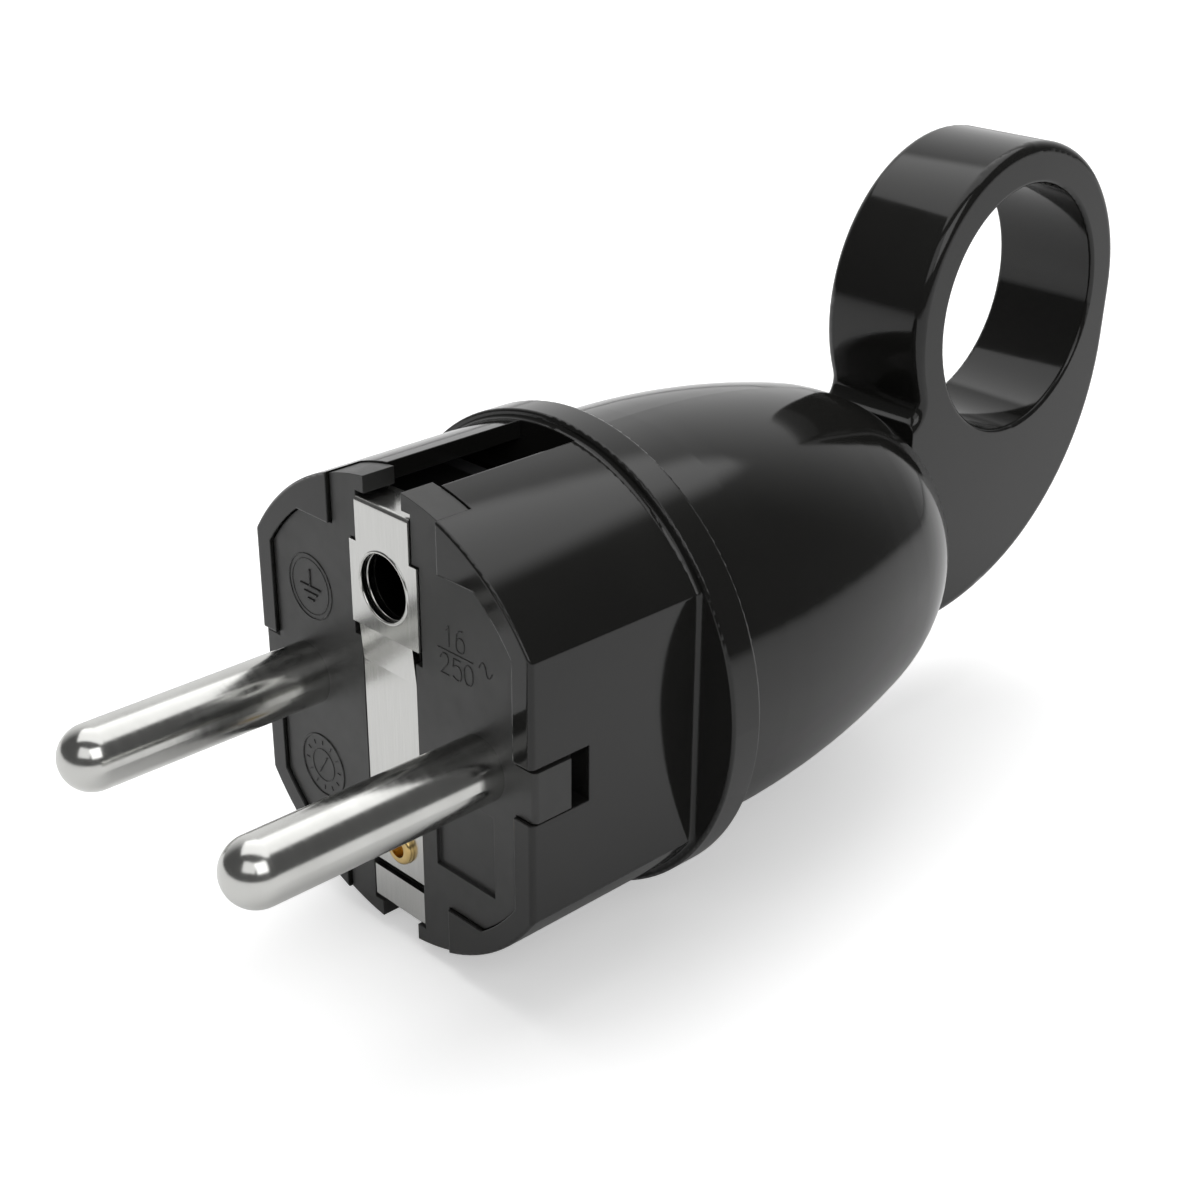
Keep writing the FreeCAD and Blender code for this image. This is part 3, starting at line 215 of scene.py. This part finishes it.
def gloss_black():
    """Polished black moulding: a deep gloss with the faint waviness of a moulded skin."""
    material, nodes, links, shader = new_material("gloss_black")
    place = object_coordinates(nodes, links)
    cloud = noise(nodes, links, place, scale=90.0)
    haze = noise(nodes, links, place, scale=420.0)
    wave = noise(nodes, links, place, scale=160.0, detail=1.0)
    links.new(blended(nodes, links, cloud, dark=(0.0090, 0.0089, 0.0083), light=(0.0118, 0.0117, 0.0109)),
              shader.inputs["Base Color"])
    links.new(mapped(nodes, links, haze, VALUE_RANGE, levels=(0.07, 0.11)), shader.inputs["Roughness"])
    links.new(bump(nodes, links, wave, distance=0.02 * MM, strength=0.5, edge=0.16 * MM),
              shader.inputs["Normal"])
    shader.inputs["IOR"].default_value = 1.46
    return material


def satin_black():
    """Fine spark-eroded black moulding."""
    material, nodes, links, shader = new_material("satin_black")
    place = object_coordinates(nodes, links)
    cloud = noise(nodes, links, place, scale=130.0)
    haze = noise(nodes, links, place, scale=900.0)
    grain = noise(nodes, links, place, scale=9000.0, detail=4.0, roughness=0.6)
    links.new(blended(nodes, links, cloud, dark=(0.024, 0.024, 0.0232), light=(0.032, 0.032, 0.0310)),
              shader.inputs["Base Color"])
    links.new(mapped(nodes, links, haze, VALUE_RANGE, levels=(0.34, 0.44)), shader.inputs["Roughness"])
    links.new(bump(nodes, links, grain, distance=0.012 * MM, strength=0.7, edge=0.08 * MM),
              shader.inputs["Normal"])
    shader.inputs["IOR"].default_value = 1.5
    return material


def turned_nickel():
    """Nickel plate over a turned pin: faint rings round the pin and soft wear."""
    material, nodes, links, shader = new_material("turned_nickel", metallic=1.0)
    rings = noise(nodes, links, object_coordinates(nodes, links, scale=(40, 2600, 40)), detail=4.0)
    cloud = noise(nodes, links, object_coordinates(nodes, links), scale=300.0)
    links.new(blended(nodes, links, cloud, dark=(0.59, 0.59, 0.57), light=(0.66, 0.66, 0.64)),
              shader.inputs["Base Color"])
    links.new(mapped(nodes, links, rings, VALUE_RANGE, levels=(0.14, 0.22)), shader.inputs["Roughness"])
    links.new(bump(nodes, links, rings, distance=0.004 * MM, strength=0.6), shader.inputs["Normal"])
    return material


def brushed_nickel():
    """Nickel-plated strip, brushed along its length."""
    material, nodes, links, shader = new_material("brushed_nickel", metallic=1.0)
    lines = noise(nodes, links, object_coordinates(nodes, links, scale=(9000, 9000, 160)), detail=4.0,
                  roughness=0.7)
    links.new(blended(nodes, links, lines, dark=(0.57, 0.57, 0.555), light=(0.66, 0.66, 0.645)),
              shader.inputs["Base Color"])
    links.new(mapped(nodes, links, lines, VALUE_RANGE, levels=(0.16, 0.24)), shader.inputs["Roughness"])
    links.new(bump(nodes, links, lines, distance=0.005 * MM, strength=0.5), shader.inputs["Normal"])
    return material


def worked_metal(name, dark, light, roughness):
    """Plain metal of small turned and stamped pieces, with its lowest and highest roughness."""
    material, nodes, links, shader = new_material(name, metallic=1.0)
    stain = noise(nodes, links, object_coordinates(nodes, links), scale=700.0, detail=5.0)
    scratch = noise(nodes, links, object_coordinates(nodes, links, scale=(900, 3200, 900)))
    links.new(blended(nodes, links, stain, dark, light), shader.inputs["Base Color"])
    links.new(mapped(nodes, links, stain, VALUE_RANGE, roughness), shader.inputs["Roughness"])
    links.new(bump(nodes, links, scratch, distance=0.004 * MM, strength=0.6), shader.inputs["Normal"])
    return material


def dull_moulding(name, dark, light, roughness, grain_scale):
    """Unpolished moulding or rubber with a fine grain, with its lowest and highest roughness."""
    material, nodes, links, shader = new_material(name)
    place = object_coordinates(nodes, links)
    cloud = noise(nodes, links, place, scale=350.0)
    grain = noise(nodes, links, place, scale=grain_scale, detail=4.0)
    links.new(blended(nodes, links, cloud, dark, light), shader.inputs["Base Color"])
    links.new(mapped(nodes, links, grain, VALUE_RANGE, roughness), shader.inputs["Roughness"])
    links.new(bump(nodes, links, grain, distance=0.015 * MM, strength=0.7), shader.inputs["Normal"])
    return material


def brass():
    """Plain brass of the rivet and the terminals."""
    return worked_metal("brass", dark=(0.62, 0.43, 0.17), light=(0.80, 0.60, 0.27), roughness=(0.18, 0.30))


def blackened_brass():
    """Near-black inside of the earth socket: painted shade of its deep bore, not a colour the brass has."""
    # Colours darker than the black mouldings: painted shade standing in for the dark deep in the socket
    return worked_metal("blackened_brass", dark=(0.003, 0.003, 0.003), light=(0.006, 0.006, 0.005),
                        roughness=(0.50, 0.60))


def screw_steel():
    """Zinc-plated screws."""
    return worked_metal("screw_steel", dark=(0.50, 0.50, 0.52), light=(0.64, 0.64, 0.66),
                        roughness=(0.25, 0.38))


def grey_plastic():
    """Cover and clamp inside the shell."""
    return dull_moulding("grey_plastic", dark=(0.08, 0.08, 0.085), light=(0.11, 0.11, 0.115),
                         roughness=(0.5, 0.6), grain_scale=5000.0)


def black_rubber():
    """Ring in the cable inlet."""
    return dull_moulding("black_rubber", dark=(0.014, 0.014, 0.014), light=(0.022, 0.022, 0.022),
                         roughness=(0.62, 0.72), grain_scale=3500.0)


def dress(nodes_by_name, record):
    """Gives every piece of the model the finish of its material slot."""
    finishes = {
        "gloss_black": gloss_black(),
        "satin_black": satin_black(),
        "nickel": turned_nickel(),
        "strip_nickel": brushed_nickel(),
        "brass": brass(),
        # The earth socket's finish is painted shade of its deep bore
        "blackened_brass": blackened_brass(),
        "screw_steel": screw_steel(),
        "grey_plastic": grey_plastic(),
        "black_rubber": black_rubber(),
    }
    for subpart in record["subparts"]:
        piece = nodes_by_name[subpart["node"]]
        piece.data.materials.clear()
        piece.data.materials.append(finishes[subpart["material_slot"]])
    return finishes


def turned_ring(name, profile, finish):
    """Thin ring turned round the earth socket's axis from a profile of radius and depth."""
    turns = [2 * math.pi * step / RING_STEPS for step in range(RING_STEPS)]
    shape = bmesh.new()
    rings = []
    for radius, depth in profile:
        rings.append([shape.verts.new((radius * MM * math.cos(turn),
                                       depth * MM,
                                       SOCKET_HEIGHT + radius * MM * math.sin(turn)))
                      for turn in turns])
    for first, second in zip(rings, rings[1:]):
        for step in range(RING_STEPS):
            following = (step + 1) % RING_STEPS
            face = shape.faces.new((first[step], first[following], second[following], second[step]))
            face.smooth = True
    mesh = bpy.data.meshes.new(name)
    shape.to_mesh(mesh)
    shape.free()
    piece = bpy.data.objects.new(name, mesh)
    bpy.context.scene.collection.objects.link(piece)
    mesh.materials.append(finish)
    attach(piece, "root")


def mark(name):
    """Empty curve for thin raised lines on the plug's face."""
    data = bpy.data.curves.new(name, "CURVE")
    data.dimensions = "3D"
    data.bevel_depth = LINE_RADIUS
    data.bevel_resolution = LINE_ROUNDNESS
    data.resolution_u = LINE_SMOOTHNESS
    piece = bpy.data.objects.new(name, data)
    bpy.context.scene.collection.objects.link(piece)
    return piece


def draw(piece, points, closed=False, weight=1.0):
    """Smooth line led by points of X and Z in millimetres, thicker by weight."""
    line = piece.data.splines.new("NURBS")
    line.points.add(len(points) - 1)
    for point, (x, z) in zip(line.points, points):
        point.co = (x * MM, FACE_DEPTH, z * MM, 1)
        point.radius = weight
    line.order_u = min(3, len(points))
    line.use_cyclic_u = closed
    line.use_endpoint_u = not closed


def circle(piece, centre, radius, weight=1.0):
    """Closed line round a centre: the points that lead it stand a little outside the radius."""
    x, z = centre
    reach = radius / math.cos(math.pi / CIRCLE_CORNERS) ** 2
    turns = [2 * math.pi * step / CIRCLE_CORNERS for step in range(CIRCLE_CORNERS)]
    draw(piece, [(x + reach * math.cos(turn), z + reach * math.sin(turn)) for turn in turns], True, weight)


def finish_mark(piece, finish):
    """Gives a drawn mark its finish and fixes it to the plug."""
    piece.data.materials.append(finish)
    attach(piece, "root")


def rating_row(piece, row):
    """One row of the rating, each sign in its own cell."""
    foot, width, height, signs = row
    for sign, left in signs:
        for stroke in STROKES[sign]:
            draw(piece, [(left + width * x, foot + height * z) for x, z in stroke], closed=sign == "0")


def rating_numbers(finish):
    """Plain numbers, one over the other with a bar between, and a wave after them."""
    piece = mark("face_numbers")
    rating_row(piece, UPPER_ROW)
    draw(piece, RATING_BAR)
    rating_row(piece, LOWER_ROW)
    rating_row(piece, WAVE_ROW)
    finish_mark(piece, finish)


def earth_mark(finish):
    """Earth sign in a double ring."""
    x, z = EARTH_SIGN_CENTRE
    piece = mark("face_earth_sign")
    circle(piece, EARTH_SIGN_CENTRE, MARK_RADIUS, weight=1.2)
    circle(piece, EARTH_SIGN_CENTRE, MARK_RADIUS - EARTH_RING_GAP, weight=0.8)
    draw(piece, [(x, z + end) for end in EARTH_STEM], weight=EARTH_WEIGHT)
    for level, reach in EARTH_BARS:
        draw(piece, [(x - reach, z + level), (x + reach, z + level)], weight=EARTH_WEIGHT)
    finish_mark(piece, finish)


def dial_mark(finish):
    """Plain dial: two rings, ticks between them and a pointer."""
    x, z = DIAL_CENTRE
    piece = mark("face_dial")
    circle(piece, DIAL_CENTRE, MARK_RADIUS, weight=1.6)
    circle(piece, DIAL_CENTRE, DIAL_HUB, weight=0.9)
    for step in range(DIAL_TICKS):
        turn = 2 * math.pi * step / DIAL_TICKS
        draw(piece, [(x + reach * math.cos(turn), z + reach * math.sin(turn)) for reach in DIAL_TICK_ENDS])
    draw(piece, [(x + across, z + up) for across, up in DIAL_POINTER], weight=1.5)
    finish_mark(piece, finish)


def floor():
    """White floor with the lamps' soft shadow of the plug. To the eye it glows, weakly near the plug and up
    to white away from it, so a painted shade lies round the plug.
    """
    bpy.ops.mesh.primitive_plane_add(size=FLOOR_SIZE, location=(0, 0, FLOOR_HEIGHT))
    plane = bpy.context.object
    plane.name = "studio_floor"
    material, nodes, links, shader = new_material("studio_floor")
    shader.inputs["Base Color"].default_value = (FLOOR_GREY, FLOOR_GREY, FLOOR_GREY, 1)
    shader.inputs["Roughness"].default_value = 1.0
    shader.inputs["Specular IOR Level"].default_value = 0.0
    away = nodes.new("ShaderNodeVectorMath")
    away.operation = "LENGTH"
    links.new(object_coordinates(nodes, links), away.inputs[0])
    # Painted glow seen by the camera alone, weaker near the plug: painted shade round it, painted light far
    # off
    painted_glow = mapped(nodes, links, away.outputs["Value"], PAINTED_GLOW_DISTANCES, PAINTED_FLOOR_GLOW)
    path = nodes.new("ShaderNodeLightPath")
    shader.inputs["Emission Color"].default_value = (1, 1, 1, 1)
    links.new(product(nodes, links, path.outputs["Is Camera Ray"], painted_glow), shader.inputs["Emission Strength"])
    plane.data.materials.append(material)


def studio_world():
    """Studio walls: white to the eye, and in reflections a pale wall far left of dim ones."""
    world = bpy.data.worlds.new("studio")
    bpy.context.scene.world = world
    world.use_nodes = True
    nodes = world.node_tree.nodes
    links = world.node_tree.links
    direction = nodes.new("ShaderNodeTexCoord")
    towards = nodes.new("ShaderNodeVectorMath")
    towards.operation = "DOT_PRODUCT"
    towards.inputs[1].default_value = PALE_WALL
    links.new(direction.outputs["Generated"], towards.inputs[0])
    walls = mapped(nodes, links, towards.outputs["Value"], WALL_FADE, WALL_LEVELS, smooth=True)
    path = nodes.new("ShaderNodeLightPath")
    mix = nodes.new("ShaderNodeMix")
    mix.data_type = "RGBA"
    links.new(path.outputs["Is Camera Ray"], mix.inputs["Factor"])
    links.new(walls, mix.inputs["A"])
    mix.inputs["B"].default_value = (1, 1, 1, 1)
    background = nodes["Background"]
    links.new(mix.outputs["Result"], background.inputs["Color"])
    background.inputs["Strength"].default_value = 1.0


def fade(data, share):
    """Lets a softbox fade out towards its far edges over a share of its width and depth."""
    data.use_nodes = True
    nodes = data.node_tree.nodes
    links = data.node_tree.links
    surface = nodes.new("ShaderNodeNewGeometry")
    across = nodes.new("ShaderNodeSeparateXYZ")
    links.new(surface.outputs["Parametric"], across.inputs["Vector"])
    levels = [mapped(nodes, links, across.outputs[axis], (1.0, 1.0 - share), (0.0, 1.0), smooth=True)
              for axis in "XY"]
    links.new(product(nodes, links, *levels), nodes["Emission"].inputs["Strength"])


def softbox(name, place, aim, width, depth, radiance, turn=0.0):
    """Rectangular area light at place that faces the point aim, turned about that line."""
    data = bpy.data.lights.new(name, "AREA")
    data.shape = "RECTANGLE"
    data.size = width
    data.size_y = depth
    data.energy = radiance * math.pi * width * depth
    lamp = bpy.data.objects.new(name, data)
    bpy.context.scene.collection.objects.link(lamp)
    lamp.location = place
    facing = (Vector(aim) - Vector(place)).to_track_quat("-Z", "Y")
    lamp.rotation_euler = (facing @ Quaternion((0, 0, 1), turn)).to_euler()
    return lamp


def studio_lamps():
    """A large softbox overhead, a soft sky for the shadow, and a softbox on each side of the camera."""
    plug = (0, 0, 0)
    overhead = softbox("overhead", place=(-0.121, 0.193, 0.60), aim=(-0.121, 0.193, 0), width=0.93,
                       depth=0.685, radiance=1.28, turn=math.radians(40.3))
    fade(overhead.data, share=0.13)
    soft_sky = softbox("soft_sky", place=(-0.35, 0.20, 0.90), aim=plug, width=0.90, depth=0.90, radiance=2.15)
    soft_sky.visible_glossy = False
    softbox("right_of_camera", place=(0.459, -0.114, 0.369), aim=plug, width=0.355, depth=0.355, radiance=1.9)
    softbox("left_of_camera", place=(0.231, -0.401, 0.382), aim=plug, width=0.41, depth=0.33, radiance=1.0)


def camera():
    """Camera at the photograph's place and angle."""
    data = bpy.data.cameras.new("photograph")
    data.sensor_width = SENSOR_WIDTH
    data.lens = FOCAL_PIXELS * SENSOR_WIDTH / FRAME_PIXELS
    data.clip_start = CAMERA_NEAR
    eye = bpy.data.objects.new("photograph", data)
    bpy.context.scene.collection.objects.link(eye)
    turn = Matrix.Rotation(CAMERA_AZIMUTH, 4, "Z")
    tilt = Matrix.Rotation(math.pi / 2 - CAMERA_ELEVATION, 4, "X")
    roll = Matrix.Rotation(CAMERA_ROLL, 4, "Z")
    eye.matrix_world = Matrix.Translation(CAMERA_PLACE) @ turn @ tilt @ roll
    bpy.context.scene.camera = eye


camera()
finishes = dress(frame["nodes"], frame["record"])
turned_ring("socket_eyelet", EYELET, finishes["nickel"])
turned_ring("socket_collar", COLLAR, finishes["nickel"])
rating_numbers(finishes["gloss_black"])
earth_mark(finishes["gloss_black"])
dial_mark(finishes["gloss_black"])
floor()
studio_world()
studio_lamps()
bpy.context.scene.view_settings.view_transform = "Standard"
